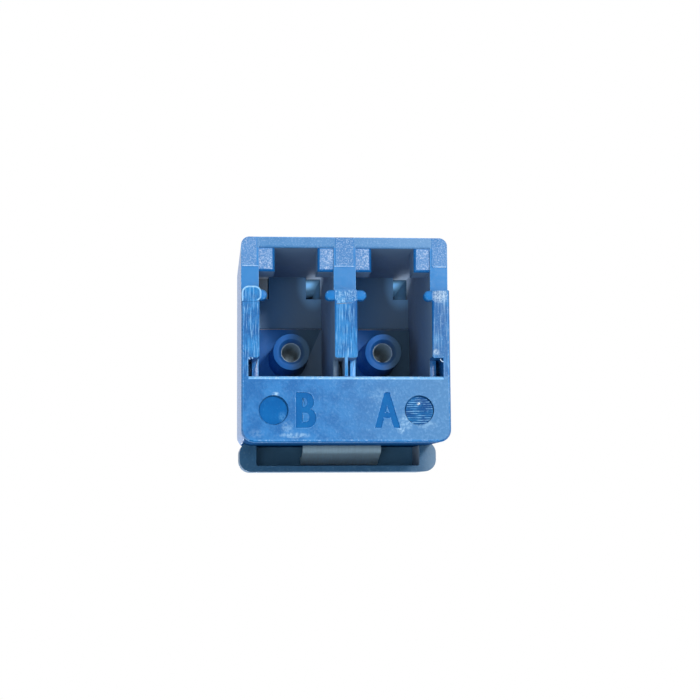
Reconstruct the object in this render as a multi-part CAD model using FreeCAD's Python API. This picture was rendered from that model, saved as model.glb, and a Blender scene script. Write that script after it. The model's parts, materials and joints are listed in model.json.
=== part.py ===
import FreeCAD, Part
import math
import os

os.makedirs("parts", exist_ok=True)

# Duplex fibre adapter: two plug ports at the front, two at the back, joined through a pair of split sleeves.
# +X is to the right of someone facing the front, +Y runs from the front to the back, +Z is up.
# Y = 0 is the seat that meets the back of the panel, and Z = 0 is the underside of the body.

# Port pair
port_pitch = 6.25          # between the two fibre axes
port_width = 4.80          # between a port's side walls
port_height = 8.40         # port floor to ceiling
plug_height = 4.70         # lower part of a port, filled by the plug's body
axis_height = 2.40         # fibre axis above the port floor

# Body
half_length = 13.35        # open end to the welded middle, the same for both halves
seat_depth = 7.00          # front face to the panel seat
outer_wall = 1.145         # beside the ports
top_wall = 0.70            # over the ports
chin_height = 4.20         # marking block under the front ports
rear_floor_wall = 0.90     # under the rear ports
top_radius = 0.55          # long upper corners
bottom_radius = 0.80       # long lower corners
under_draft = 2.0          # degrees, the underside rises towards the seam
rear_side_step = 0.32      # how much narrower the rear half is on each side
rim_bevel = 0.12           # round the open ends
seam_bevel = 0.08          # shallow groove left round the welded seam

# Stepped front face
bar_top = 5.57             # top of the proud bars above the port floor
bar_dome = 0.55            # rounded inner corner of the left bar's top
face_setback = 0.80        # upper face behind the bars and the chin
post_relief = 0.05         # rail and plain band behind the posts
post_margin = 0.13         # how far a post's face ends short of the port
post_height = 7.20         # lower end of the posts above the port floor
rail_round = 0.18          # lower front edge of the rail
bar_foot_round = 0.16      # lower corners of the bars
lip_round = 0.20           # front edge of the port floor

# Latch shoulders, which hold a plug's latch, and their core-out holes through the web
shoulder_reach = 1.03      # into the port from each side wall
shoulder_height = 1.53     # down from the ceiling
shoulder_length = 2.20     # along the plug's path
shoulder_setback = 0.15    # behind the rail's face
shoulder_round = 0.20
core_clearance = 0.04      # hole edges beyond the shoulder's outline

# Guide nubs on the walls at the mouth
nub_height = 0.66
nub_reach = {"inner": 0.60, "outer": 0.49}
nub_length = 0.60
nub_centre = 5.21          # above the port floor

# Notches under the bars
notch_height = 1.18
notch_depth = 1.60
centre_rib = 0.22          # left standing in the centre wall
side_skin = 0.455          # left standing in each outer wall
slot_width = 0.26          # deeper slot beside the rib or the skin
slot_depth = 3.50

# Webs and sleeve holders
plug_web = 1.30            # each half's web behind the plug's body
latch_web = 0.90           # each half's web behind the latch space
holder_depth = 7.10        # front face to the mouth of a sleeve holder
holder_tip_radius = 1.24
holder_root_radius = 1.36
holder_lip = 0.50          # end wall that keeps the sleeve in
lip_bore_radius = 0.66     # narrow end of the lip's tapered bore
mouth_flare = 0.12         # how much wider the bore is at the mouth

# Split sleeves
sleeve_bore_radius = 0.6245
sleeve_wall = 0.1855
sleeve_slot = 0.35
sleeve_side_gap = 0.04     # float round the sleeve
sleeve_end_gap = 0.05      # float at each end of the sleeve

# Locating pegs between the halves
peg_radius = 0.40
peg_length = 0.70
peg_gap = 0.04
peg_heights = (1.20, 7.20)  # above the port floor, in the centre wall

# Cored-out chin
chin_face_wall = 1.20
chin_side_wall = 1.10
chin_under_wall = 1.25
chin_roof_wall = 0.80
chin_rib = 1.00            # between the cores
chin_cores = 3

# Marks left by ejector pins beside the port letters
pin_mark_radius = 0.92
pin_mark_depth = 0.08
pin_mark_offset = 4.63     # from the body's centre plane
pin_mark_height = 2.04     # above the underside

# Lug under the body, with a pocket that is open to the front
land_length = 2.10         # undrafted strip of the underside in front of the lug, for the panel's edge
lug_drop = 1.755           # below the underside
lug_side_step = 0.05       # how much shorter it is at each end
lug_overlap = 0.30         # up into the body
lug_length = 4.60
lug_radius = 0.80
lug_floor = 0.40
lug_end_wall = 1.12
lug_back_wall = 0.80
pocket_radius = 0.15

# Steel leaf in the pocket
leaf_width = 5.30
leaf_shift = 0.28          # it sits a little to the right
leaf_thickness = 0.20
leaf_bend = 0.35           # centreline radius of its bends
leaf_leg = 0.60            # up into the slot in the underside
leaf_leg_gap = 0.03
leaf_slot_offset = 0.20    # seat plane to the front of the slot
leaf_floor_gap = 0.05
leaf_back_gap = 0.10
leaf_tail = 0.45           # turned up at the back

# Panel groove on the top
panel_gap = 1.65           # takes a 1.6 mm panel
catch_height = 0.50
catch_length = 1.95
catch_land = 0.25          # flat on top of the ramp
stop_height = 0.90
stop_length = 1.20
rib_width = 8.00

reach = 1.00               # cutting tools run this far past an open side

# Places that follow from the sizes
front_y = -seat_depth
face_y = front_y + face_setback
mid_y = half_length - seat_depth
floor_z = chin_height
ceiling_z = floor_z + port_height
top_z = ceiling_z + top_wall
axis_z = floor_z + axis_height
bar_top_z = floor_z + bar_top
port_half = port_width / 2
port_centres = {"b": -port_pitch / 2, "a": port_pitch / 2}
inner_wall_x = port_pitch / 2 - port_half
outer_wall_x = port_pitch / 2 + port_half
body_half = outer_wall_x + outer_wall
sleeve_radius = sleeve_bore_radius + sleeve_wall
holder_y = front_y + holder_depth
sleeve_half = mid_y - (holder_y + holder_lip) - sleeve_end_gap
relief_y = face_y + post_relief


def box(x0, x1, y0, y1, z0, z1):
    return Part.makeBox(x1 - x0, y1 - y0, z1 - z0, FreeCAD.Vector(x0, y0, z0))


def cylinder_y(radius, x, z, y0, y1):
    return Part.makeCylinder(radius, y1 - y0, FreeCAD.Vector(x, y0, z), FreeCAD.Vector(0, 1, 0))


def cone_y(radius0, radius1, x, z, y0, y1):
    return Part.makeCone(radius0, radius1, y1 - y0, FreeCAD.Vector(x, y0, z), FreeCAD.Vector(0, 1, 0))


def prism_x(points, x0, x1):
    corners = [FreeCAD.Vector(x0, y, z) for y, z in points]
    face = Part.Face(Part.makePolygon(corners + corners[:1]))
    return face.extrude(FreeCAD.Vector(x1 - x0, 0, 0))


def joined(shapes):
    shapes = list(shapes)
    return shapes[0].multiFuse(shapes[1:]) if len(shapes) > 1 else shapes[0]


def edges_where(shape, test):
    return [edge for edge in shape.Edges if test(edge)]


def along(edge, axis):
    """True for a straight edge along that axis, give or take a draft."""
    direction = edge.Vertexes[-1].Point - edge.Vertexes[0].Point
    return abs(getattr(direction, axis)) > 0.99 * direction.Length > 0


def underside(y):
    """Height of the front half's drafted underside."""
    return (y - front_y) * math.tan(math.radians(under_draft))


def to_rear(shape):
    """The same form at the back of the adapter."""
    return shape.mirror(FreeCAD.Vector(0, mid_y, 0), FreeCAD.Vector(0, 1, 0))


def body_block(half_width, end_z, seam_z, low_radius):
    """Outer form of one half, from the open end to the seam, with its underside at end_z and seam_z."""
    side = [(front_y, end_z), (mid_y, seam_z), (mid_y, top_z), (front_y, top_z)]
    block = prism_x(side, -half_width, half_width)
    centre_z = (seam_z + top_z) / 2
    for radius, side in ((low_radius, -1), (top_radius, 1)):
        corners = edges_where(block, lambda e: along(e, "y") and (e.CenterOfMass.z - centre_z) * side > 0)
        block = block.makeFillet(radius, corners)
    rim = edges_where(block, lambda e: abs(e.BoundBox.YMax - front_y) < 1e-6)
    block = block.makeChamfer(rim_bevel, rim)
    seam = edges_where(block, lambda e: abs(e.BoundBox.YMin - mid_y) < 1e-6)
    return block.makeChamfer(seam_bevel, seam)


def port_voids():
    """Room for the two plugs: a lower channel for the body and a deeper upper one for the latch."""
    voids = []
    for centre in port_centres.values():
        x0, x1 = centre - port_half, centre + port_half
        step_z = floor_z + plug_height
        voids.append(box(x0, x1, front_y - reach, mid_y - plug_web, floor_z, step_z))
        voids.append(box(x0, x1, front_y - reach, mid_y - latch_web, step_z, ceiling_z))
    return joined(voids)


def shoulder_places():
    """The wall and the inward direction of each latch shoulder."""
    for centre in port_centres.values():
        yield centre - port_half, 1
        yield centre + port_half, -1


def latch_shoulders():
    shoulders = []
    start_y = relief_y + shoulder_setback
    for wall_x, inward in shoulder_places():
        x0, x1 = sorted((wall_x - inward * post_margin, wall_x + inward * shoulder_reach))
        shoulder = box(x0, x1, start_y, start_y + shoulder_length,
                       ceiling_z - shoulder_height, ceiling_z + top_wall / 2)
        tip_x = wall_x + inward * shoulder_reach
        front = edges_where(shoulder, lambda e: abs(e.BoundBox.YMax - start_y) < 1e-6)
        rounded = [e for e in front if along(e, "x") and e.CenterOfMass.z < ceiling_z
                   or along(e, "z") and abs(e.CenterOfMass.x - tip_x) < 1e-6]
        shoulders.append(shoulder.makeFillet(shoulder_round, rounded))
    return joined(shoulders)


def core_holes():
    """Holes behind the shoulders, where the mould's cores came through the web."""
    holes = []
    for wall_x, inward in shoulder_places():
        x0, x1 = sorted((wall_x, wall_x + inward * (shoulder_reach + core_clearance)))
        low_z = ceiling_z - shoulder_height - core_clearance
        holes.append(box(x0, x1, mid_y - latch_web - reach / 2, mid_y + reach, low_z, ceiling_z))
    return joined(holes)


def upper_face_cut():
    """Sets the face back above the bars, and the rail, shoulders and plain band behind the posts."""
    wide, high = body_half + reach, top_z + reach
    cuts = [box(-wide, wide, front_y - reach, face_y, bar_top_z, high),
            box(-wide, wide, front_y - reach, relief_y, bar_top_z, floor_z + post_height)]
    for centre in port_centres.values():
        half = port_half + post_margin
        cuts.append(box(centre - half, centre + half, front_y - reach, relief_y, bar_top_z, high))
        cuts.append(rounding_x(centre - port_half, centre + port_half, relief_y, ceiling_z, rail_round, -1, 0))
    return joined(cuts)


def rounding_x(x0, x1, y, z, radius, side, spare=reach / 2):
    """Tool that rounds a front edge along X at y and z; side is 1 for an upper edge, -1 for a lower one."""
    z_round = z - side * radius
    z0, z1 = sorted((z_round, z + side * spare))
    block = box(x0, x1, y - reach / 2, y + radius, z0, z1)
    turn = Part.makeCylinder(radius, x1 - x0, FreeCAD.Vector(x0, y + radius, z_round), FreeCAD.Vector(1, 0, 0))
    return block.cut(turn)


def rounding_y(x, z, inward, side, radius, depth):
    """Tool that rounds a bar's edge along Y at x and z; inward points into the port, side is 1 for an upper edge."""
    x0, x1 = sorted((x - inward * radius, x + inward * reach / 4))
    z0, z1 = sorted((z - side * radius, z + side * reach / 4))
    block = box(x0, x1, front_y - reach, front_y + depth, z0, z1)
    turn = cylinder_y(radius, x - inward * radius, z - side * radius, front_y - reach, front_y + depth)
    return block.cut(turn)


def bar_roundings():
    """Rounds the inner upper corner of the left bar and the lower corners of all the bars."""
    foot_z = floor_z + notch_height
    feet = [rounding_y(wall_x, foot_z, inward, -1, bar_foot_round, notch_depth)
            for wall_x, inward in shoulder_places()]
    return joined(feet + [rounding_y(-outer_wall_x, bar_top_z, 1, 1, bar_dome, face_setback)])


def guide_nubs():
    nubs = []
    nub_z, radius = floor_z + nub_centre, nub_height / 2
    start_y = front_y + rim_bevel / 2
    for wall_x, inward in shoulder_places():
        wall = "outer" if wall_x * inward < 0 else "inner"
        end_x = wall_x + inward * (nub_reach[wall] - radius)
        x0, x1 = sorted((wall_x - inward * post_margin, end_x))
        nubs.append(box(x0, x1, start_y, start_y + nub_length, nub_z - radius, nub_z + radius))
        nubs.append(cylinder_y(radius, end_x, nub_z, start_y, start_y + nub_length))
    return joined(nubs)


def wall_notches():
    """Shallow notches under the bars, each with a deeper slot beside the rib or the skin that stays."""
    cuts = []
    z0, z1 = floor_z, floor_z + notch_height
    rib_x, skin_x = centre_rib / 2, body_half - side_skin
    for side in (-1, 1):
        for standing_x, wall_x, away in ((rib_x, inner_wall_x, 1), (skin_x, outer_wall_x, -1)):
            for far_x, depth in ((wall_x, notch_depth), (standing_x + away * slot_width, slot_depth)):
                x0, x1 = sorted((side * standing_x, side * far_x))
                cuts.append(box(x0, x1, front_y - reach, front_y + depth, z0, z1))
    return joined(cuts)


def sleeve_holders():
    return joined(cone_y(holder_tip_radius, holder_root_radius, x, axis_z, holder_y, mid_y - plug_web / 2)
                  for x in port_centres.values())


def sleeve_voids():
    """Bore of each holder: a tapered way through the retaining lip, then the sleeve room."""
    voids = []
    room_radius = sleeve_radius + sleeve_side_gap
    for x in port_centres.values():
        voids.append(cylinder_y(room_radius, x, axis_z, holder_y + holder_lip, mid_y + reach))
        voids.append(cone_y(lip_bore_radius + mouth_flare, lip_bore_radius, x, axis_z,
                            holder_y, holder_y + holder_lip))
    return joined(voids)


def chin_core_voids():
    """Cores that open at the seam and keep the chin's walls even."""
    room = 2 * (body_half - chin_side_wall) - (chin_cores - 1) * chin_rib
    width = room / chin_cores
    voids = []
    for i in range(chin_cores):
        x0 = -body_half + chin_side_wall + i * (width + chin_rib)
        voids.append(box(x0, x0 + width, front_y + chin_face_wall, mid_y + reach,
                         chin_under_wall, floor_z - chin_roof_wall))
    return joined(voids)


def pin_marks():
    return joined(cylinder_y(pin_mark_radius, side * pin_mark_offset, pin_mark_height,
                             front_y - reach, front_y + pin_mark_depth) for side in (-1, 1))


def under_prism(half_width, y0, y1, low, high):
    """Block that follows the underside's draft, with low and high measured from the underside."""
    side = [(y0, underside(y0) + low), (y1, underside(y1) + low), (y1, underside(y1) + high),
            (y0, underside(y0) + high)]
    return prism_x(side, -half_width, half_width)


def panel_land():
    """Takes the draft off the underside where the panel's edge lies, in front of the seat."""
    level = body_block(body_half, underside(0), underside(0), bottom_radius)
    return box(-body_half, body_half, -land_length, 0, -reach, axis_z).cut(level)


def lug():
    half_width = body_half - lug_side_step
    slab = under_prism(half_width, 0, lug_length, -lug_drop, lug_overlap)
    slab = slab.makeFillet(lug_radius, edges_where(slab, lambda e: along(e, "y")))
    pocket = under_prism(half_width - lug_end_wall, -reach, lug_length - lug_back_wall,
                         lug_floor - lug_drop, lug_overlap + reach)
    low = edges_where(pocket, lambda e: along(e, "y") and e.CenterOfMass.z < -lug_drop / 2)
    return slab.cut(pocket.makeFillet(pocket_radius, low))


def leaf_path():
    """Centreline of the leaf: leg, slope and turned-up tail, as points in Y and Z."""
    half = leaf_thickness / 2
    leg_y = leaf_slot_offset + leaf_leg_gap + half
    back_y = lug_length - lug_back_wall - leaf_back_gap - half
    low_z = underside(back_y) - lug_drop + lug_floor + leaf_floor_gap + half
    root_z = underside(leg_y)
    return [(leg_y, root_z + leaf_leg), (leg_y, root_z - leaf_bend), (back_y - leaf_tail, low_z),
            (back_y, low_z + leaf_tail)]


def rounded_wire(points, radius):
    """Straight runs through the points in the YZ plane, joined by tangent arcs."""
    vectors = [FreeCAD.Vector(0, y, z) for y, z in points]
    edges, start = [], vectors[0]
    for before, corner, after in zip(vectors, vectors[1:], vectors[2:]):
        back, ahead = (before - corner).normalize(), (after - corner).normalize()
        half_angle = back.getAngle(ahead) / 2
        trim = radius / math.tan(half_angle)
        middle = (back + ahead).normalize() * (radius / math.sin(half_angle) - radius)
        first, last = corner + back * trim, corner + ahead * trim
        edges.append(Part.LineSegment(start, first).toShape())
        edges.append(Part.Arc(first, corner + middle, last).toShape())
        start = last
    edges.append(Part.LineSegment(start, vectors[-1]).toShape())
    return Part.Wire(edges)


def spring_leaf():
    points = leaf_path()
    leg_y, top = points[0]
    half = leaf_thickness / 2
    x0, x1 = leaf_shift - leaf_width / 2, leaf_shift + leaf_width / 2
    corners = [FreeCAD.Vector(x, y, top) for x, y in
               ((x0, leg_y - half), (x1, leg_y - half), (x1, leg_y + half), (x0, leg_y + half))]
    section = Part.makePolygon(corners + corners[:1])
    return rounded_wire(points, leaf_bend).makePipeShell([section], True, False)


def leaf_slot():
    """Slot in the underside that holds the leaf's leg."""
    x0, x1 = leaf_shift - leaf_width / 2, leaf_shift + leaf_width / 2
    gap = leaf_leg_gap
    leg_y, top = leaf_path()[0]
    return box(x0 - gap, x1 + gap, leg_y - leaf_thickness / 2 - gap, leg_y + leaf_thickness / 2 + gap,
               -reach, top + gap)


def panel_ribs():
    """Ramped catch in front of the panel and square stop behind it, on the top of the body."""
    half, base_z = rib_width / 2, top_z - top_wall / 2
    catch_top, stop_top = top_z + catch_height, top_z + stop_height
    ramp = [(-panel_gap - catch_length, base_z), (-panel_gap - catch_length, top_z),
            (-panel_gap - catch_land, catch_top), (-panel_gap, catch_top), (-panel_gap, base_z)]
    stop = box(-half, half, 0, stop_length, base_z, stop_top)
    back = edges_where(stop, lambda e: along(e, "x") and e.CenterOfMass.z > top_z
                       and e.CenterOfMass.y > stop_length / 2)
    return prism_x(ramp, -half, half).fuse(stop.makeFillet(stop_height / 2, back))


def pegs(radius, length):
    return joined(cylinder_y(radius, 0, floor_z + height, mid_y - length, mid_y + length)
                  for height in peg_heights)


def port_half_form(block):
    """One half with its ports, shoulders and sleeve holders, before what only that half has."""
    half = block.cut(port_voids()).fuse(latch_shoulders()).fuse(sleeve_holders())
    return half.cut(joined([core_holes(), sleeve_voids()]))


def front_housing():
    half = port_half_form(body_block(body_half, 0, underside(mid_y), bottom_radius))
    lip = rounding_x(-body_half + side_skin, body_half - side_skin, front_y, floor_z, lip_round, 1)
    lip = lip.cut(box(-body_half, body_half, front_y - reach, mid_y, floor_z, top_z))
    half = half.cut(joined([upper_face_cut(), bar_roundings(), wall_notches(), lip, pin_marks()]))
    half = half.fuse(guide_nubs()).cut(chin_core_voids()).cut(panel_land())
    half = half.fuse(lug()).cut(leaf_slot())
    return half.fuse(panel_ribs()).fuse(pegs(peg_radius, peg_length)).removeSplitter()


def rear_housing():
    under_z = floor_z - rear_floor_wall
    block = body_block(body_half - rear_side_step, under_z, under_z, top_radius)
    half = to_rear(port_half_form(block).fuse(guide_nubs()))
    holes = pegs(peg_radius + peg_gap, peg_length + peg_gap)
    return half.cut(holes).removeSplitter()


def split_sleeve(x):
    """Ceramic sleeve, slit along its top so that it grips both ferrules."""
    y0, y1 = mid_y - sleeve_half, mid_y + sleeve_half
    tube = cylinder_y(sleeve_radius, x, axis_z, y0, y1)
    bore = cylinder_y(sleeve_bore_radius, x, axis_z, y0 - reach, y1 + reach)
    slit = box(x - sleeve_slot / 2, x + sleeve_slot / 2, y0 - reach, y1 + reach, axis_z, axis_z + reach)
    return tube.cut(bore).cut(slit)


def export(name, shape):
    solid = shape.Solids[0]
    solid.exportStep(f"parts/{name}.step")
    print(name, len(shape.Solids), "solid, valid", solid.isValid(), "volume", round(solid.Volume, 2))


export("front_housing", front_housing())
export("rear_housing", rear_housing())
for letter, x in port_centres.items():
    export(f"split_sleeve_{letter}", split_sleeve(x))
export("spring_leaf", spring_leaf())
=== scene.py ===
import bmesh
import bpy
import json
import math
from mathutils import Matrix, Vector

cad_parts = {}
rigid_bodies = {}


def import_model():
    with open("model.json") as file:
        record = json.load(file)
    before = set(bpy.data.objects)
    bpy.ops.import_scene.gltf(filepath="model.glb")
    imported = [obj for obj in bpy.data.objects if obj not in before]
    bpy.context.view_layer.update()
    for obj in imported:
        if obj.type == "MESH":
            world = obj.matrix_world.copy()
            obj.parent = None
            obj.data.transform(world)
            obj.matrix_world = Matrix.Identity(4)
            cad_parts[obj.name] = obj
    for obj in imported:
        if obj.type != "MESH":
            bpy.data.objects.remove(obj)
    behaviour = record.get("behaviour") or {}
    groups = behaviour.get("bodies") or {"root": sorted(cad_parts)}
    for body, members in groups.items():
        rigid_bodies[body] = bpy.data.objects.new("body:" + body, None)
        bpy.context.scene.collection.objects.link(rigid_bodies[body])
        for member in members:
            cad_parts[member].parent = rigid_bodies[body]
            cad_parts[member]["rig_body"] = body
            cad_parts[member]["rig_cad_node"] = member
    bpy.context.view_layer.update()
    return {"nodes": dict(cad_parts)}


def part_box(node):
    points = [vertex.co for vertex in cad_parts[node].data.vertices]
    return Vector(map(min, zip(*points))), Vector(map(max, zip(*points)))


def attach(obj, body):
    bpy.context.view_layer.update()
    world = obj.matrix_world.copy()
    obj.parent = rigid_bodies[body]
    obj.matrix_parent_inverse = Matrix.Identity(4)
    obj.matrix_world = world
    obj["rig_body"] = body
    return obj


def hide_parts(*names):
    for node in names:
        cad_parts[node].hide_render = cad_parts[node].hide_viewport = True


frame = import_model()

mm = 0.001
nodes = frame["nodes"]

# Places of the CAD frame that the pieces are built on
frontLow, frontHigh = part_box("front_housing")
sleeveLow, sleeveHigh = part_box("split_sleeve_a")
bodyHalf = frontHigh.x
mouthY = frontLow.y
faceY = mouthY + 0.80 * mm                        # the posts stand here
bandY = faceY + 0.05 * mm                         # the rail and the bands, just behind the posts
webY = 4.90 * mm                                  # just in front of the web with the sleeve holders
portX = (sleeveLow.x + sleeveHigh.x) / 2          # port a, and -portX for port b
axisZ = sleeveLow.z + (sleeveHigh.x - sleeveLow.x) / 2
portFloorZ = axisZ - 2.40 * mm
barFootZ = portFloorZ + 1.18 * mm
barTopZ = portFloorZ + 5.57 * mm
postFootZ = portFloorZ + 7.20 * mm
ceilingZ = portFloorZ + 8.40 * mm
wallX = portX + 2.40 * mm                         # outer side wall of a port
innerWallX = portX - 2.40 * mm                    # side of the centre bar
nubLowZ, nubHighZ = 9.00 * mm, 9.82 * mm          # just below and above the guide nubs
webStepY, webStepZ = 5.05 * mm, portFloorZ + 4.70 * mm      # edge of the step in the web
pinX, pinZ = bodyHalf - 2.04 * mm, 2.04 * mm      # marks of the ejector pins
letterDepth = 0.10 * mm
crescentDepth = 0.24 * mm                         # of the grooves round the pin marks, dark grooves that stand in for the shadow in the marks
toolLength = 1.0 * mm                             # of the tools that cut into the front


def deselectAll():
    if bpy.context.object and bpy.context.object.mode != "OBJECT":
        bpy.ops.object.mode_set(mode="OBJECT")
    bpy.ops.object.select_all(action="DESELECT")


def pick(piece):
    deselectAll()
    piece.select_set(True)
    bpy.context.view_layer.objects.active = piece


def applyModifiers(piece):
    pick(piece)
    for modifier in list(piece.modifiers):
        bpy.ops.object.modifier_apply(modifier=modifier.name)


def settle(piece):
    # puts the place, turn and scale into the mesh
    pick(piece)
    bpy.ops.object.transform_apply(location=True, rotation=True, scale=True)


def near(value, place, room=0.03):
    return abs(value - place) < room * mm


def addCamera():
    shot = {
        "place": Vector((-9.038, -112.200, -7.019)) * mm,
        "turn": 5.035,          # degrees to the right of straight ahead
        "tilt": 6.958,          # degrees upwards
        "roll": -0.409,
        "lens": 86.06,
    }
    bpy.ops.object.camera_add(location=shot["place"])
    camera = bpy.context.object
    aim = (Matrix.Rotation(-math.radians(shot["turn"]), 3, "Z")
           @ Matrix.Rotation(math.radians(90 + shot["tilt"]), 3, "X")
           @ Matrix.Rotation(math.radians(shot["roll"]), 3, "Z"))
    camera.rotation_euler = aim.to_euler()
    camera.data.lens = shot["lens"]
    camera.data.sensor_width = 36
    camera.data.clip_start = 1 * mm
    camera.data.clip_end = 10
    bpy.context.scene.camera = camera


addCamera()
print("camera placed")


# Small helpers for node materials. Patterns sit on Object coordinates, and sizes are per millimetre.

def startMaterial(name):
    material = bpy.data.materials.new(name)
    material.use_nodes = True
    tree = material.node_tree
    spot = tree.nodes.new("ShaderNodeTexCoord").outputs["Object"]
    return material, tree, tree.nodes["Principled BSDF"], spot


def noise(tree, spot, perMm, detail=2.0, rough=0.6, shift=0.0):
    mapping = tree.nodes.new("ShaderNodeMapping")
    mapping.inputs["Scale"].default_value = [value * 1000 for value in perMm]
    mapping.inputs["Location"].default_value = (shift, 1.7 * shift, 2.3 * shift)
    grain = tree.nodes.new("ShaderNodeTexNoise")
    grain.inputs["Scale"].default_value = 1.0
    grain.inputs["Detail"].default_value = detail
    grain.inputs["Roughness"].default_value = rough
    tree.links.new(spot, mapping.inputs["Vector"])
    tree.links.new(mapping.outputs["Vector"], grain.inputs["Vector"])
    return grain.outputs["Fac"]


def window(tree, value, low, high, bottom=0.0, top=1.0):
    step = tree.nodes.new("ShaderNodeMapRange")
    step.interpolation_type = "SMOOTHSTEP"
    for name, number in (("From Min", low), ("From Max", high), ("To Min", bottom), ("To Max", top)):
        step.inputs[name].default_value = number
    tree.links.new(value, step.inputs["Value"])
    return step.outputs["Result"]


def math2(tree, kind, first, second):
    step = tree.nodes.new("ShaderNodeMath")
    step.operation = kind
    for i, value in enumerate((first, second)):
        if isinstance(value, (int, float)):
            step.inputs[i].default_value = value
        else:
            tree.links.new(value, step.inputs[i])
    return step.outputs[0]


def mixColour(tree, factor, first, second):
    step = tree.nodes.new("ShaderNodeMix")
    step.data_type = "RGBA"
    tree.links.new(factor, step.inputs["Factor"])
    for name, value in (("A", first), ("B", second)):
        socket = next(s for s in step.inputs if s.name == name and s.type == "RGBA")
        if isinstance(value, tuple):
            socket.default_value = value + (1.0,)
        else:
            tree.links.new(value, socket)
    return next(s for s in step.outputs if s.type == "RGBA")


def patchAt(tree, x, z, middleX, middleZ, wide, tall):
    # 1 in the middle of an oval on the front, 0 outside it
    total = None
    for value, middle, half in ((x, middleX, wide), (z, middleZ, tall)):
        offset = math2(tree, "MULTIPLY", math2(tree, "SUBTRACT", value, middle * mm), 1 / (half * mm))
        square = math2(tree, "MULTIPLY", offset, offset)
        total = square if total is None else math2(tree, "ADD", total, square)
    return window(tree, total, 1.0, 0.0)


def addBump(tree, shader, height, distance):
    bump = tree.nodes.new("ShaderNodeBump")
    bump.inputs["Distance"].default_value = distance * mm
    bump.inputs["Strength"].default_value = 1.0
    tree.links.new(height, bump.inputs["Height"])
    tree.links.new(bump.outputs["Normal"], shader.inputs["Normal"])


def tintByPlace(tree, look, across, colour):
    # painted light and shade of the front and the ports, with places in mm and measured across each port
    places = {
        "glowAcross": (1.95, 1.35),
        "glowAboveAxis": (2.4, 1.0),
        "paintedGlare": (4.95, 12.00, 1.30, 2.00),        # middle and half size, across and up
        "paintedGlareDepth": (4.9, 5.4),
        "paintedGlareStrength": 0.85,
        "mouthDepth": 4.0,
        "spotLeft": (3.7, 4.5),
        "spotRight": (5.6, 4.8),
        "spotNear": (6.4, 8.6),
        "spotFar": (12.0, 9.2),
    }

    def between(value, key):
        return window(tree, value, *(place * mm for place in places[key]))

    inPort = math2(tree, "MODULO", math2(tree, "ADD", across.outputs["X"], 4 * portX), 2 * portX)
    if "shade" in look:                # painted shade, duller towards the right side of each port
        right = window(tree, inPort, look["shadeFrom"] * mm, look["shadeTo"] * mm)
        colour = mixColour(tree, right, colour, look["shade"])
    if "glow" in look:                 # painted light, livelier in the lower left corner of each port
        high, low = (axisZ + rise * mm for rise in places["glowAboveAxis"])
        corner = math2(tree, "MULTIPLY", between(inPort, "glowAcross"),
                       window(tree, across.outputs["Z"], high, low))
        colour = mixColour(tree, corner, colour, look["glow"])
    if "paintedGlare" in look:                 # painted glare, soft light that spreads round the web's right hole
        soft = patchAt(tree, inPort, across.outputs["Z"], *places["paintedGlare"])
        start, full = (place * mm for place in places["paintedGlareDepth"])
        behind = window(tree, across.outputs["Y"], start, full, 0.0, places["paintedGlareStrength"])
        soft = math2(tree, "MULTIPLY", soft, behind)
        colour = mixColour(tree, soft, colour, look["paintedGlare"])
    if "mouth" in look:                # painted shade, darker near the front
        front = window(tree, across.outputs["Y"], places["mouthDepth"] * mm, mouthY + 0.5 * mm)
        colour = mixColour(tree, front, colour, look["mouth"])
    if "spot" in look:                 # painted pool of light, pale only in a soft patch behind the web's right hole, and painted shade elsewhere
        patch = math2(tree, "MULTIPLY", between(inPort, "spotLeft"), between(inPort, "spotRight"))
        deep = math2(tree, "MULTIPLY", between(across.outputs["Y"], "spotNear"),
                     between(across.outputs["Y"], "spotFar"))
        colour = mixColour(tree, math2(tree, "MULTIPLY", patch, deep), look["spot"], colour)
    return colour


def scratchAlong(tree, look, spot, speck, colour):
    # light and dark scratches, longest along the direction with the fewest per mm
    marks = noise(tree, spot, look["scratches"], 3.0, 0.65, 7.7)
    bright = window(tree, marks, 0.52, 0.68, 0.0, look["scratchLight"])
    dark = window(tree, marks, 0.46, 0.34, 0.0, look["scratchDark"])
    colour = mixColour(tree, bright, colour, look["pale"])
    colour = mixColour(tree, dark, colour, look["deep"])
    return colour, math2(tree, "ADD", math2(tree, "MULTIPLY", speck, 0.4), marks)


def machineAcross(tree, look, spot, across, speck, colour):
    # fine machined lines, wavering and broken
    wander = math2(tree, "MULTIPLY", noise(tree, spot, (1.1, 1.1, 3.0), 2.0, 0.6, 9.1), 5.0)
    turns = math2(tree, "MULTIPLY", across.outputs["Z"], look["lines"] * 2000 * math.pi)
    wave = math2(tree, "SINE", math2(tree, "ADD", turns, wander), 0.0)
    broken = window(tree, noise(tree, spot, (1.6, 1.6, 6.0), 2.0, 0.6, 4.4), 0.40, 0.62)
    light = math2(tree, "MULTIPLY", window(tree, wave, 0.35, 0.95, 0.0, 0.70), broken)
    faded = window(tree, noise(tree, spot, (1.8, 1.8, 5.0), 2.0, 0.6, 6.2), 0.36, 0.60, 0.25, 1.0)
    dark = math2(tree, "MULTIPLY", window(tree, wave, -0.2, -0.9, 0.0, 0.85), faded)
    colour = mixColour(tree, dark, colour, look["deep"])
    colour = mixColour(tree, light, colour, look["pale"])
    return colour, math2(tree, "ADD", math2(tree, "MULTIPLY", wave, 0.5), speck)


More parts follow.
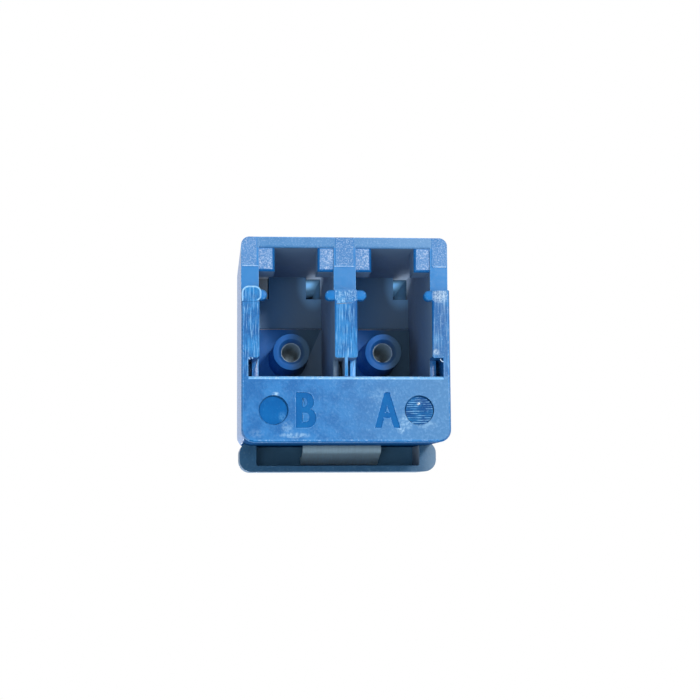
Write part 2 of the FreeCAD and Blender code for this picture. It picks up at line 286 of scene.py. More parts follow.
def mouldedPlastic(name, look):
    material, tree, shader, spot = startMaterial(name)
    perMm, showFrom, showFull, strength = look["grain"]
    mottle = window(tree, noise(tree, spot, (0.9, 0.9, 0.9), 3.0, 0.6), 0.35, 0.65)
    colour = mixColour(tree, mottle, look["deep"], look["base"])
    speck = noise(tree, spot, (perMm,) * 3, 2.0, 0.7, 3.1)
    patch = window(tree, noise(tree, spot, (1.6, 1.6, 1.6), 2.0, 0.6, 5.3), 0.3, 0.7, 0.55, 1.0)
    # pale specks: frosted texture with painted glints of the lamps
    frostAndGlints = math2(tree, "MULTIPLY", window(tree, speck, showFrom, showFull, 0.0, strength), patch)
    across = tree.nodes.new("ShaderNodeSeparateXYZ")
    tree.links.new(spot, across.inputs[0])
    if "right" in look:                # paler towards the right
        start, full = look.get("rightFrom", -3.34) * mm, look.get("rightTo", 7.34) * mm
        colour = mixColour(tree, window(tree, across.outputs["X"], start, full), colour, look["right"])
    if "frostRise" in look:            # more specks towards the right
        rise = window(tree, across.outputs["X"], -0.8 * bodyHalf, 0.8 * bodyHalf, *look["frostRise"])
        frostAndGlints = math2(tree, "MULTIPLY", frostAndGlints, rise)
    colour = tintByPlace(tree, look, across, colour)
    colour = mixColour(tree, frostAndGlints, colour, look["pale"])
    height = speck
    if "scratches" in look:
        colour, height = scratchAlong(tree, look, spot, speck, colour)
    if "lines" in look:
        colour, height = machineAcross(tree, look, spot, across, speck, colour)
    for x, z, wide, tall, worn in look.get("patches", ()):     # whitened places on the front
        grit = window(tree, speck, 0.36, 0.62, 0.15 * worn, worn)
        oval = patchAt(tree, across.outputs["X"], across.outputs["Z"], x, z, wide, tall)
        colour = mixColour(tree, math2(tree, "MULTIPLY", grit, oval), colour, look["worn"])
    tree.links.new(colour, shader.inputs["Base Color"])
    rough = window(tree, speck, 0.3, 0.7, look["roughness"] - 0.06, look["roughness"] + 0.08)
    tree.links.new(rough, shader.inputs["Roughness"])
    shader.inputs["IOR"].default_value = look.get("ior", 1.42)
    if look["bump"]:
        addBump(tree, shader, height, look["bump"])
    return material


# Every blue finish has a base and a deep colour in slow patches, and specks of a pale colour on them: frosted
# texture with painted glints.
# Its grain says how many specks there are per mm, where in the noise they start and are full, and how strong.
finishes = {
    "chin": {
        "base": (0.018, 0.198, 0.535), "deep": (0.001, 0.13, 0.41), "pale": (0.20, 0.42, 0.72),
        "grain": (5.50, 0.42, 0.82, 0.46), "roughness": 0.48, "bump": 0.016, "right": (0.06, 0.22, 0.48),
        "frostRise": (0.50, 1.50), "ior": 1.38, "worn": (0.42, 0.68, 0.92),
        "patches": ((-3.75, 0.92, 0.50, 0.50, 0.26), (-3.30, 0.44, 1.20, 0.22, 0.50),
                    (3.80, 1.30, 0.55, 0.65, 0.48), (3.45, 0.80, 0.30, 0.38, 0.70),
                    (-4.50, 3.05, 0.30, 0.16, 0.85), (5.10, 1.10, 0.80, 0.35, 0.30),
                    (2.30, 2.90, 1.10, 0.70, 0.14), (-5.70, 0.55, 0.60, 0.40, 0.14)),
    },
    "post": {
        "base": (0.07, 0.24, 0.55), "deep": (0.04, 0.20, 0.50), "pale": (0.62, 0.76, 0.93),
        "grain": (11.0, 0.44, 0.74, 0.70), "roughness": 0.52, "bump": 0.016,
    },
    "shoulder": {
        "base": (0.09, 0.26, 0.56), "deep": (0.05, 0.21, 0.51), "pale": (0.70, 0.80, 0.94),
        "grain": (11.0, 0.42, 0.72, 0.78), "roughness": 0.52, "bump": 0.016,
    },
    "rail": {
        "base": (0.07, 0.24, 0.52), "deep": (0.05, 0.21, 0.48), "pale": (0.46, 0.64, 0.84),
        "grain": (9.0, 0.46, 0.80, 0.45), "roughness": 0.50, "bump": 0.014, "right": (0.115, 0.29, 0.56),
    },
    "band": {
        "base": (0.018, 0.215, 0.56), "deep": (0.014, 0.20, 0.53), "pale": (0.12, 0.36, 0.70),
        "grain": (6.0, 0.60, 0.90, 0.25), "roughness": 0.45, "bump": 0.004,
    },
    "bar": {
        "base": (0.018, 0.235, 0.60), "deep": (0.001, 0.11, 0.37), "pale": (0.30, 0.62, 0.95),
        "grain": (10.0, 0.56, 0.84, 0.35), "roughness": 0.44, "bump": 0.03,
        "scratches": (15.0, 3.0, 0.70), "scratchLight": 0.75, "scratchDark": 1.0, "ior": 1.36,
    },
    "barHead": {
        "base": (0.022, 0.25, 0.61), "deep": (0.004, 0.15, 0.46), "pale": (0.50, 0.78, 1.0),
        "grain": (9.0, 0.46, 0.72, 0.62), "roughness": 0.40, "bump": 0.034,
        "scratches": (15.0, 3.0, 2.40), "scratchLight": 0.55, "scratchDark": 0.60,
    },
    "barRight": {
        "base": (0.03, 0.205, 0.50), "deep": (0.006, 0.12, 0.37), "pale": (0.45, 0.68, 0.92),
        "grain": (11.0, 0.50, 0.80, 0.45), "roughness": 0.46, "bump": 0.022,
        "scratches": (17.0, 3.0, 0.40), "scratchLight": 0.55, "scratchDark": 0.85,
        "worn": (0.70, 0.86, 0.98),
        "patches": ((6.05, 9.40, 0.80, 0.55, 0.50), (5.75, 5.75, 0.32, 0.26, 0.50)),
    },
    "nub": {
        "base": (0.006, 0.20, 0.58), "deep": (0.004, 0.18, 0.54), "pale": (0.16, 0.46, 0.84),
        "grain": (7.0, 0.54, 0.84, 0.40), "roughness": 0.40, "bump": 0.008, "ior": 1.25,
    },
    # pale rounds on outer corners: edge wear with a painted highlight
    "edge": {
        "base": (0.05, 0.27, 0.64), "deep": (0.03, 0.22, 0.58), "pale": (0.50, 0.74, 0.96),
        "grain": (7.0, 0.45, 0.75, 0.60), "roughness": 0.42, "bump": 0.01,
    },
    # painted shade on the bars' rounded edges, on the slanted faces under the shoulders and under the front
    # edge of each port's ceiling
    "edgeDeep": {
        "base": (0.004, 0.125, 0.39), "deep": (0.003, 0.105, 0.35), "pale": (0.20, 0.46, 0.80),
        "grain": (9.0, 0.52, 0.82, 0.35), "roughness": 0.42, "bump": 0.01, "ior": 1.30,
    },
    # painted shade on the rounds of the guide nubs
    "nubEdge": {
        "base": (0.008, 0.17, 0.50), "deep": (0.005, 0.15, 0.45), "pale": (0.28, 0.56, 0.88),
        "grain": (8.0, 0.50, 0.75, 0.50), "roughness": 0.36, "bump": 0.008,
    },
    # painted highlight on the rolled rim of the left bar's head
    "headRim": {
        "base": (0.22, 0.52, 0.86), "deep": (0.14, 0.44, 0.80), "pale": (0.60, 0.86, 1.0),
        "grain": (7.0, 0.45, 0.75, 0.65), "roughness": 0.36, "bump": 0.012,
    },
    # painted highlight on the rounded lip of each port
    "lip": {
        "base": (0.23, 0.54, 0.93), "deep": (0.16, 0.47, 0.86), "pale": (0.70, 0.88, 1.0),
        "grain": (5.0, 0.45, 0.75, 0.65), "roughness": 0.42, "bump": 0.01,
    },
    "flash": {
        "base": (0.33, 0.58, 0.90), "deep": (0.20, 0.46, 0.82), "pale": (0.85, 0.95, 1.0),
        "grain": (6.0, 0.40, 0.70, 0.70), "roughness": 0.30, "bump": 0.01,
    },
    "letter": {
        "base": (0.003, 0.145, 0.43), "deep": (0.002, 0.12, 0.39), "pale": (0.05, 0.24, 0.58),
        "grain": (8.0, 0.52, 0.82, 0.45), "roughness": 0.46, "bump": 0.014, "ior": 1.20,
    },
    "pinSmooth": {
        "base": (0.002, 0.135, 0.43), "deep": (0.001, 0.115, 0.39), "pale": (0.04, 0.28, 0.64),
        "grain": (7.0, 0.56, 0.80, 0.40), "roughness": 0.34, "bump": 0.008, "ior": 1.16,
        "worn": (0.16, 0.46, 0.80),
        "patches": ((-4.05, 1.60, 0.34, 0.46, 0.34),),
    },
    "pinTurned": {
        "base": (0.012, 0.185, 0.48), "deep": (0.001, 0.07, 0.27), "pale": (0.30, 0.62, 0.95),
        "grain": (9.0, 0.52, 0.76, 0.35), "roughness": 0.44, "bump": 0.03, "lines": 7.0, "ior": 1.30,
        "worn": (0.95, 1.0, 1.0),
        "patches": ((4.59, 2.45, 0.13, 0.12, 1.0),),
    },
    "shell": {
        "base": (0.01, 0.16, 0.46), "deep": (0.007, 0.135, 0.41), "pale": (0.14, 0.36, 0.68),
        "grain": (6.0, 0.55, 0.85, 0.25), "roughness": 0.30, "bump": 0.006, "ior": 1.65,
    },
    # painted shade on the underside of the body
    "under": {
        "base": (0.002, 0.05, 0.165), "deep": (0.001, 0.042, 0.145), "pale": (0.04, 0.14, 0.28),
        "grain": (6.0, 0.55, 0.85, 0.25), "roughness": 0.70, "bump": 0.006, "ior": 1.08,
    },
    # painted shade on the lug, which lies in the body's shadow, and painted light on its right end
    "lug": {
        "base": (0.024, 0.105, 0.215), "deep": (0.018, 0.088, 0.185), "pale": (0.12, 0.24, 0.36),
        "grain": (6.0, 0.48, 0.78, 0.40), "roughness": 0.48, "bump": 0.012, "right": (0.12, 0.22, 0.34),
        "rightFrom": 5.40, "rightTo": 6.60, "ior": 1.42,
    },
    # painted shade in the grooves round the pin marks and on the marks' walls
    "groove": {
        "base": (0.008, 0.12, 0.34), "deep": (0.006, 0.105, 0.31), "pale": (0.02, 0.08, 0.20),
        "grain": (6.0, 0.55, 0.85, 0.25), "roughness": 0.50, "bump": 0.004, "ior": 1.20,
    },
    # painted light on the sides of the lug's pocket
    "pocketSide": {
        "base": (0.48, 0.64, 0.80), "deep": (0.43, 0.59, 0.75), "pale": (0.55, 0.70, 0.85),
        "grain": (6.0, 0.55, 0.85, 0.25), "roughness": 0.60, "bump": 0.004,
    },
    "pocket": {
        "base": (0.075, 0.205, 0.36), "deep": (0.065, 0.185, 0.33), "pale": (0.10, 0.24, 0.40),
        "grain": (6.0, 0.55, 0.85, 0.25), "roughness": 0.60, "bump": 0.004,
    },
    # port walls and web, with painted shade towards the right of each port, painted light in its lower left
    # corner and painted glare round the web's hole
    "inner": {
        "base": (0.045, 0.195, 0.44), "deep": (0.04, 0.18, 0.41), "pale": (0.06, 0.22, 0.48),
        "grain": (4.0, 0.55, 0.85, 0.25), "roughness": 0.40, "bump": 0, "shade": (0.09, 0.165, 0.27),
        "shadeFrom": 1.0, "shadeTo": 4.60, "glow": (0.10, 0.44, 0.90), "paintedGlare": (0.22, 0.48, 0.80),
        "ior": 1.60,
    },
    # painted light, a pale haze on the port ceilings and right walls, which lie in shade, with painted shade
    # near the front
    "innerShade": {
        "base": (0.34, 0.44, 0.58), "deep": (0.31, 0.40, 0.54), "pale": (0.38, 0.48, 0.62),
        "grain": (4.0, 0.55, 0.85, 0.25), "roughness": 0.60, "bump": 0, "mouth": (0.20, 0.31, 0.46),
    },
    # painted pool of light behind the web's right hole, with painted shade elsewhere
    "innerRear": {
        "base": (0.19, 0.48, 0.83), "deep": (0.175, 0.455, 0.80), "pale": (0.30, 0.60, 0.90),
        "grain": (3.0, 0.45, 0.75, 0.16), "roughness": 0.60, "bump": 0, "spot": (0.02, 0.07, 0.14),
        "ior": 1.25,
    },
    # painted shade on the faces behind the web
    "deepHole": {
        "base": (0.03, 0.06, 0.10), "deep": (0.025, 0.05, 0.085), "pale": (0.04, 0.08, 0.12),
        "grain": (4.0, 0.55, 0.85, 0.25), "roughness": 0.60, "bump": 0, "ior": 1.25,
    },
    # painted highlight on the round of the step in the web, with painted shade towards the right of each port
    "step": {
        "base": (0.34, 0.33, 0.34), "deep": (0.27, 0.27, 0.29), "pale": (0.50, 0.46, 0.44),
        "grain": (5.0, 0.45, 0.75, 0.50), "roughness": 0.34, "bump": 0, "shade": (0.08, 0.12, 0.18),
        "shadeFrom": 2.20, "shadeTo": 3.80,
    },
    # sleeve holders, with painted shadow on the right part of each
    "ring": {
        "base": (0.022, 0.15, 0.47), "deep": (0.018, 0.135, 0.43), "pale": (0.04, 0.20, 0.54),
        "grain": (4.0, 0.60, 0.90, 0.20), "roughness": 0.50, "bump": 0, "shade": (0.06, 0.12, 0.19),
        "shadeFrom": 2.70, "shadeTo": 4.10, "ior": 1.28,
    },
}
finishNames = list(finishes)
blues = {name: mouldedPlastic("blue" + name[0].upper() + name[1:], look) for name, look in finishes.items()}
print("blue plastic finishes made:", len(blues))


def copyNode(node, name):
    # copy of a CAD node with its doubles merged, its flat faces whole again and no tie to the frame
    pick(nodes[node])
    bpy.ops.object.duplicate()
    piece = bpy.context.object
    piece.name = name
    piece.data.name = name
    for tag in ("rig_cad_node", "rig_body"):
        del piece[tag]
    piece.parent = None
    piece.matrix_world = Matrix.Identity(4)
    piece.data.materials.clear()
    bpy.ops.mesh.customdata_custom_splitnormals_clear()
    bpy.ops.object.mode_set(mode="EDIT")
    bpy.ops.mesh.select_all(action="SELECT")
    bpy.ops.mesh.remove_doubles(threshold=0.0004 * mm)
    bpy.ops.mesh.dissolve_limited(angle_limit=math.radians(0.6))
    bpy.ops.object.mode_set(mode="OBJECT")
    return piece


def splitAt(piece, place, axis):
    # cuts all faces along a plane, so that a finish or a round can end there
    pick(piece)
    bpy.ops.object.mode_set(mode="EDIT")
    bpy.ops.mesh.select_all(action="SELECT")
    bpy.ops.mesh.bisect(plane_co=place, plane_no=axis)
    bpy.ops.object.mode_set(mode="OBJECT")


def longSharpEdges(piece, least):
    # outer corners, apart from the shallow strip under the body in front of the lug
    shape = bmesh.new()
    shape.from_mesh(piece.data)
    chosen = []
    for edge in shape.edges:
        outer = len(edge.link_faces) == 2 and edge.is_convex
        sharp = outer and edge.calc_face_angle(0) > math.radians(38)
        middle = (edge.verts[0].co + edge.verts[1].co) / 2
        shallow = middle.z < 0.9 * mm and -2.3 * mm < middle.y < 0.1 * mm
        if sharp and edge.calc_length() > least * mm and not shallow:
            chosen.append(edge.index)
    shape.free()
    return chosen


def soften(piece, width, edgeSlot=-1):
    # small round on every outer corner, then flat faces kept flat
    weights = piece.data.attributes.new("bevel_weight_edge", "FLOAT", "EDGE")
    for index in longSharpEdges(piece, 2.2 * width):
        weights.data[index].value = 1.0
    bevel = piece.modifiers.new("softEdge", "BEVEL")
    bevel.width = width * mm
    bevel.segments = 2
    bevel.limit_method = "WEIGHT"
    bevel.use_clamp_overlap = False
    # the rounds can take the edge finish, with its painted highlight
    bevel.material = edgeSlot
    applyModifiers(piece)
    pick(piece)
    bpy.ops.object.shade_smooth_by_angle(angle=math.radians(32))
    flat = piece.modifiers.new("keepFlat", "WEIGHTED_NORMAL")
    flat.weight = 100
    flat.keep_sharp = True
    applyModifiers(piece)


def wantsBoldRound(kind, edge):
    first, second = (v.co for v in edge.verts)
    middle = (first + second) / 2
    level = near(first.y, second.y, 0.01)
    if kind == "bar":                          # the rounds stop short of the nubs
        upright = abs(first.z - second.z) > 2.0 * mm
        atSide = near(abs(middle.x), innerWallX) or near(abs(middle.x), wallX)
        atNub = nubLowZ < middle.z < nubHighZ
        return level and upright and near(middle.y, mouthY) and atSide and middle.z > barFootZ and not atNub
    if kind == "nub":
        inPort = innerWallX + 0.01 * mm < abs(middle.x) < wallX - 0.01 * mm
        atHeight = portFloorZ + 3 * mm < middle.z < postFootZ
        return level and inPort and middle.y < mouthY + 0.3 * mm and atHeight
    return near(middle.z, webStepZ, 0.06) and near(middle.y, webStepY, 0.06)


def roundBoldEdges(piece):
    # wider rounds on the bars, nubs and on the step in the web
    # painted shade on the rounds of the bars and nubs, and a painted highlight on the step
    rounds = {
        "bar": {"width": 0.17, "finish": "edgeDeep", "segments": 4},
        "nub": {"width": 0.11, "finish": "nubEdge", "segments": 3},
        "step": {"width": 0.13, "finish": "step", "segments": 2},
    }
    for kind, look in rounds.items():
        pick(piece)
        bpy.ops.object.mode_set(mode="EDIT")
        bpy.ops.mesh.select_mode(type="EDGE")
        bpy.ops.mesh.select_all(action="DESELECT")
        shape = bmesh.from_edit_mesh(piece.data)
        for edge in shape.edges:
            if edge.is_convex and edge.calc_face_angle(0) >= math.radians(25):
                edge.select_set(wantsBoldRound(kind, edge))
        bmesh.update_edit_mesh(piece.data)
        bpy.ops.mesh.bevel(offset=look["width"] * mm, segments=look["segments"], affect="EDGES",
                           clamp_overlap=False, material=finishNames.index(look["finish"]))
        bpy.ops.object.mode_set(mode="OBJECT")


def makeLetters():
    # port marks for the chin, as cutters that stand in its face
    marks = {
        "size": 3.10 * mm,
        "bold": 0.040,                 # of the letter size
        "spread": 0.065 * mm,          # strokes grow this far to both sides
        "depth": letterDepth,
        "low": 0.92 * mm,              # foot of the letters above the underside
        "high": 3.16 * mm,
        "B": (-3.22 * mm, -1.95 * mm),
        "A": (1.79 * mm, 3.39 * mm),
    }
    cutters = []
    for letter in "BA":
        deselectAll()
        bpy.ops.object.text_add(location=(0, 0, 0))
        cutter = bpy.context.object
        cutter.name = "letterCutter" + letter
        cutter.data.body = letter
        cutter.data.size = marks["size"]
        cutter.data.offset = marks["bold"] * marks["size"] / 3
        cutter.data.extrude = 1.0 * mm
        cutter.data.resolution_u = 5
        bpy.ops.object.convert(target="MESH")
        cutter.rotation_euler = (math.radians(90), 0, 0)
        settle(cutter)
        xs = [v.co.x for v in cutter.data.vertices]
        zs = [v.co.z for v in cutter.data.vertices]
        left, right = marks[letter][0] + marks["spread"], marks[letter][1] - marks["spread"]
        wide = (right - left) / (max(xs) - min(xs))
        tall = (marks["high"] - marks["low"]) / (max(zs) - min(zs))
        cutter.scale = (wide, 1, tall)
        settle(cutter)
        foot = min(v.co.z for v in cutter.data.vertices)
        side = min(v.co.x for v in cutter.data.vertices)
        cutter.location = (left - side, mouthY + marks["depth"] - 1.0 * mm, marks["low"] - foot)
        settle(cutter)
        bpy.ops.object.mode_set(mode="EDIT")
        bpy.ops.mesh.select_all(action="SELECT")
        bpy.ops.mesh.remove_doubles(threshold=0.001 * mm)
        bpy.ops.object.mode_set(mode="OBJECT")
        pick(cutter)
        bpy.ops.object.duplicate()
        for copy, way in ((cutter, -1), (bpy.context.object, 1)):
            copy.location.x = way * marks["spread"]
            settle(copy)
            cutters.append(copy)
    return cutters


def pinCutter(x, z, radius, deep):
    # a round tool that reaches a given depth into the chin
    middle = (x, mouthY - toolLength / 2 + deep, z)
    bpy.ops.mesh.primitive_cylinder_add(vertices=64, radius=radius, depth=toolLength, location=middle,
                                        rotation=(math.radians(90), 0, 0))
    settle(bpy.context.object)
    return bpy.context.object


def blockCutter(x, z, wide, tall, deep, lean=0.0):
    # a square tool that reaches a given depth into the front
    bpy.ops.mesh.primitive_cube_add(size=1, location=(x, mouthY - toolLength / 2 + deep, z))
    block = bpy.context.object
    block.scale = (wide, toolLength, tall)
    block.rotation_euler = (0, math.radians(lean), 0)
    settle(block)
    return block


def crescentCutter(x, z, groove, across, down):
    # a round tool without its core, which is set off to one side
    outer, inner, deep = groove
    ring = pinCutter(x, z, outer, deep)
    core = pinCutter(x - across, z - down, inner, 2 * deep)
    leave = ring.modifiers.new("leave", "BOOLEAN")
    leave.object = core
    leave.solver = "EXACT"
    applyModifiers(ring)
    bpy.data.objects.remove(core)
    return ring


def makeWearCutters():
    # room for the left bar's rolled head, line under the centre bar's head, deeper pin marks, funnels
    wear = {
        "head": (-bodyHalf - 0.2 * mm, -wallX - 0.01 * mm, barTopZ - 0.83 * mm, barTopZ + 0.20 * mm),
        "headDepth": 0.10 * mm,
        "line": (-0.62 * mm, 0.40 * mm, barTopZ - 0.90 * mm),     # left, right and height of its middle
        "lineTall": 0.05 * mm,
        "lineDepth": 0.035 * mm,
        "lineLean": -4.0,                                         # degrees
        "pinRadius": 0.90 * mm,
        "pinDepth": 0.17 * mm,
        "crescent": (0.940 * mm, 0.880 * mm, crescentDepth),      # outer and inner radius, depth
        "leftShift": (0.034 * mm, 0.040 * mm),
        "rightShift": (0.000 * mm, 0.050 * mm),
        "funnel": (0.90 * mm, 0.60 * mm, 0.42 * mm),              # mouth and end radius, depth
        "funnelStart": 0.005 * mm,                                # in front of the holder's face
    }
    left, right, low, high = wear["head"]
    cutters = [blockCutter((left + right) / 2, (low + high) / 2, right - left, high - low, wear["headDepth"])]
    left, right, middle = wear["line"]
    cutters.append(blockCutter((left + right) / 2, middle, right - left, wear["lineTall"],
                               wear["lineDepth"], wear["lineLean"]))
    cutters.append(pinCutter(-pinX, pinZ, wear["pinRadius"], wear["pinDepth"]))
    # crescent grooves that stand in for the shadow in the pin marks
    for side, shift in ((-1, wear["leftShift"]), (1, wear["rightShift"])):
        cutters.append(crescentCutter(side * pinX, pinZ, wear["crescent"], *shift))
    holderY = sleeveLow.y - 0.58 * mm
    wide, narrow, deep = wear["funnel"]
    for x in (-portX, portX):
        middle = (x, holderY + deep / 2 - wear["funnelStart"], axisZ)
        bpy.ops.mesh.primitive_cone_add(vertices=64, radius1=narrow, radius2=wide, depth=deep,
                                        location=middle, rotation=(math.radians(90), 0, 0))
        settle(bpy.context.object)
        cutters.append(bpy.context.object)
    return cutters


def chinZone(x, y, z, normal):
    # letters, pin marks and the grooves round them, which all lie in the chin; None elsewhere
    if z >= portFloorZ - 0.3 * mm or abs(x) >= bodyHalf - 0.5 * mm:
        return None
    if near(y, mouthY + crescentDepth, 0.05):
        return "groove"
    if not near(y, mouthY + letterDepth, 0.09):
        return None
    if math.hypot(abs(x) - pinX, z - pinZ) > 1.1 * mm:
        return "letter"
    if normal.y > -0.7:
        return "groove"
    return "pinSmooth" if x < 0 else "pinTurned"


def upperZone(x, y, z, normal):
    # rail, posts, bands and shoulders of the upper face
    if z > ceilingZ - 0.2 * mm and innerWallX - 0.2 * mm < abs(x) < wallX + 0.2 * mm:
        return "rail"
    if near(y, faceY, 0.02):
        return "post"
    if near(y, bandY, 0.02):
        return "band"
    # slanted faces under the shoulders take painted shade
    return "shoulder" if normal.y < -0.985 else "edgeDeep"


def frontZone(centre, normal):
    # finish of a face of the front half, from its place
    x, y, z = centre
    facesFront, facesDown = normal.y < -0.7, normal.z < -0.7
    byMouth = normal.z > 0.05 and y < mouthY + 0.3 * mm
    if near(z, portFloorZ - 0.1 * mm, 0.09) and byMouth:
        return "lip"
    if facesFront and near(y, mouthY):
        if z < portFloorZ:
            return "chin"
        if x > wallX:
            return "barRight"
        return "barHead" if abs(x) < bodyHalf / 2 and z > barTopZ - 0.9 * mm else "bar"
    inChin = chinZone(x, y, z, normal)
    if inChin:
        return inChin
    if near(z, portFloorZ, 0.24) and byMouth:
        return "lip"
    inPort = innerWallX + 0.02 * mm < abs(x) < wallX - 0.02 * mm
    if y < mouthY + 0.75 * mm and inPort and barTopZ - 0.9 * mm < z < barTopZ + 0.1 * mm:
        return "nub"
    if normal.y < -0.3 and y < faceY + 0.40 * mm and z > barTopZ - 0.1 * mm:
        return upperZone(x, y, z, normal)
    # painted shade under the front edge of each port's ceiling
    if near(z, ceilingZ + 0.09 * mm, 0.10) and y < mouthY + 1.2 * mm and normal.z < -0.1:
        return "edgeDeep"
    if math.hypot(abs(x) - portX, z - axisZ) < 1.40 * mm and y > 0:
        return "ring"
    if abs(x) < wallX + 0.01 * mm and portFloorZ - 0.01 * mm < z < ceilingZ + 0.01 * mm:
        # painted shade behind the web, and painted haze on the ceilings and right walls
        if y > webY and normal.y > -0.7:
            return "deepHole"
        return "innerShade" if normal.x < -0.7 or facesDown else "inner"
    if z < 0.02 * mm and y > 0.05 * mm and abs(normal.x) > 0.5 and abs(x) < bodyHalf - 0.6 * mm:
        return "pocketSide"
    if z < 0.02 * mm and y > -0.02 * mm:
        return "pocket" if y > 0.3 * mm and normal.y < -0.5 and abs(x) < bodyHalf - 1.0 * mm else "lug"
    return "under" if facesDown and z < 0.6 * mm else "shell"


def carve(piece, cutter):
    cut = piece.modifiers.new("carve", "BOOLEAN")
    cut.object = cutter
    cut.solver = "EXACT"
    cut.use_self = True                # keeps the result whole where cuts run into each other
    applyModifiers(piece)
    bpy.data.objects.remove(cutter)
    pick(piece)
    bpy.ops.object.mode_set(mode="EDIT")
    bpy.ops.mesh.select_all(action="SELECT")
    bpy.ops.mesh.remove_doubles(threshold=0.004 * mm)
    bpy.ops.object.mode_set(mode="OBJECT")


def dullDeepEdges(piece):
    # edges deep in the ports lose the painted highlight of the edge finish and stay as dull as their walls
    for face in piece.data.polygons:
        x, y, z = face.center
        inside = abs(x) < wallX + 0.06 * mm and portFloorZ - 0.06 * mm < z < ceilingZ + 0.06 * mm
        if face.material_index == finishNames.index("edge") and inside and y > mouthY + 1.3 * mm:
            holder = math.hypot(abs(x) - portX, z - axisZ) < 1.42 * mm and y < webY
            face.material_index = finishNames.index("ring" if holder else "inner")


def buildFrontHousing():
    housing = copyNode("front_housing", "frontHousing")
    for height in (portFloorZ, barFootZ, nubLowZ, nubHighZ, ceilingZ):
        splitAt(housing, (0, 0, height), (0, 0, 1))
    for cutter in reversed(makeLetters() + makeWearCutters()):     # letters last, or the carved mesh opens
        carve(housing, cutter)
    for name in finishNames:
        housing.data.materials.append(blues[name])
    for face in housing.data.polygons:
        face.material_index = finishNames.index(frontZone(face.center, face.normal))
    roundBoldEdges(housing)
    soften(housing, 0.045, finishNames.index("edge"))
    dullDeepEdges(housing)
    for vertex in housing.data.vertices:       # no rounding reaches past the body's sides
        vertex.co.x = max(-bodyHalf, min(bodyHalf, vertex.co.x))
    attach(housing, "root")
    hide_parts("front_housing")
    return housing


frontHousing = buildFrontHousing()
print("front housing:", len(frontHousing.data.polygons), "faces")


def addBarHead():
    # rolled, worn head of the left bar, a little wider than the bar and as deep as it stands out
    head = {
        "left": -bodyHalf + 0.03 * mm,
        "right": -wallX + 0.135 * mm,
        "low": barTopZ - 0.83 * mm,
        "high": barTopZ + 0.20 * mm,
        "thick": 0.79 * mm,
        "corner": 0.44 * mm,
        "rim": 0.10 * mm,
        "sunk": 0.030 * mm,
    }
    place = ((head["left"] + head["right"]) / 2, mouthY + head["thick"] / 2, (head["low"] + head["high"]) / 2)
    deselectAll()
    bpy.ops.mesh.primitive_cube_add(size=1, location=place)
    piece = bpy.context.object
    piece.name = "leftBarHead"
    piece.scale = (head["right"] - head["left"], head["thick"], head["high"] - head["low"])
    settle(piece)
    bpy.ops.object.mode_set(mode="EDIT")
    shape = bmesh.from_edit_mesh(piece.data)
    for edge in shape.edges:
        middle = (edge.verts[0].co + edge.verts[1].co) / 2
        alongY = abs(edge.verts[0].co.y - edge.verts[1].co.y) > 0.1 * mm
        edge.select_set(alongY and (middle.x > place[0] or middle.z > place[2]))
    bmesh.update_edit_mesh(piece.data)
    bpy.ops.mesh.bevel(offset=head["corner"], segments=7, affect="EDGES")
    bpy.ops.mesh.select_all(action="DESELECT")
    shape = bmesh.from_edit_mesh(piece.data)
    for face in shape.faces:
        face.select_set(face.normal.y < -0.9)
    bmesh.update_edit_mesh(piece.data)
    bpy.ops.mesh.inset(thickness=head["rim"])
    bpy.ops.transform.translate(value=(0, head["sunk"], 0))
    bpy.ops.object.mode_set(mode="OBJECT")
    finish(piece, ("bar", "headRim"), 0.03, 1)
    # the pale rim is a painted highlight, kept off the sunk face and the rim's foot
    for face in piece.data.polygons:
        sunk = face.normal.y < -0.9 and face.center.y > mouthY + 0.02 * mm
        if sunk or face.center.z < head["low"] + 1.2 * head["rim"]:
            face.material_index = 0


def finish(piece, names, width, slot):
    # finishes, soft edges and ride for a small moulded piece
    for name in names:
        piece.data.materials.append(blues[name])
    for face in piece.data.polygons:
        face.material_index = slot
    soften(piece, width)
    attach(piece, "root")


def addPostFlash(name, start, end, radius):
    deselectAll()
    bpy.ops.mesh.primitive_cylinder_add(vertices=10, radius=radius, depth=end - start,
                                        location=((start + end) / 2, faceY + 0.02 * mm, postFootZ),
                                        rotation=(0, math.radians(90), 0))
    ridge = bpy.context.object
    ridge.name = name
    settle(ridge)
    finish(ridge, ("flash",), 0.01, 0)


def addBurr(place, size):
    # lower part of a curl of plastic at the foot of the right bar
    deselectAll()
    bpy.ops.mesh.primitive_torus_add(location=place, rotation=(math.radians(90), 0, 0),
                                     major_radius=size, minor_radius=0.035 * mm,
                                     major_segments=32, minor_segments=10)
    burr = bpy.context.object
    burr.name = "rightBarBurr"
    settle(burr)
    bpy.ops.object.mode_set(mode="EDIT")
    bpy.ops.mesh.select_all(action="SELECT")
    bpy.ops.mesh.bisect(plane_co=place, plane_no=(-0.45, 0, 0.9), use_fill=True, clear_outer=True)
    bpy.ops.object.mode_set(mode="OBJECT")
    finish(burr, ("flash",), 0.01, 0)


def addFlake(name, x, rise, turn):
    deselectAll()
    bpy.ops.mesh.primitive_ico_sphere_add(subdivisions=2, radius=0.09 * mm,
                                          location=(x, mouthY + 0.045 * mm, barFootZ + rise * mm))
    flake = bpy.context.object
    flake.name = name
    flake.scale = (0.55, 0.40, 1.1)
    flake.rotation_euler = (0, math.radians(turn), 0)
    settle(flake)
    finish(flake, ("flash",), 0.01, 0)


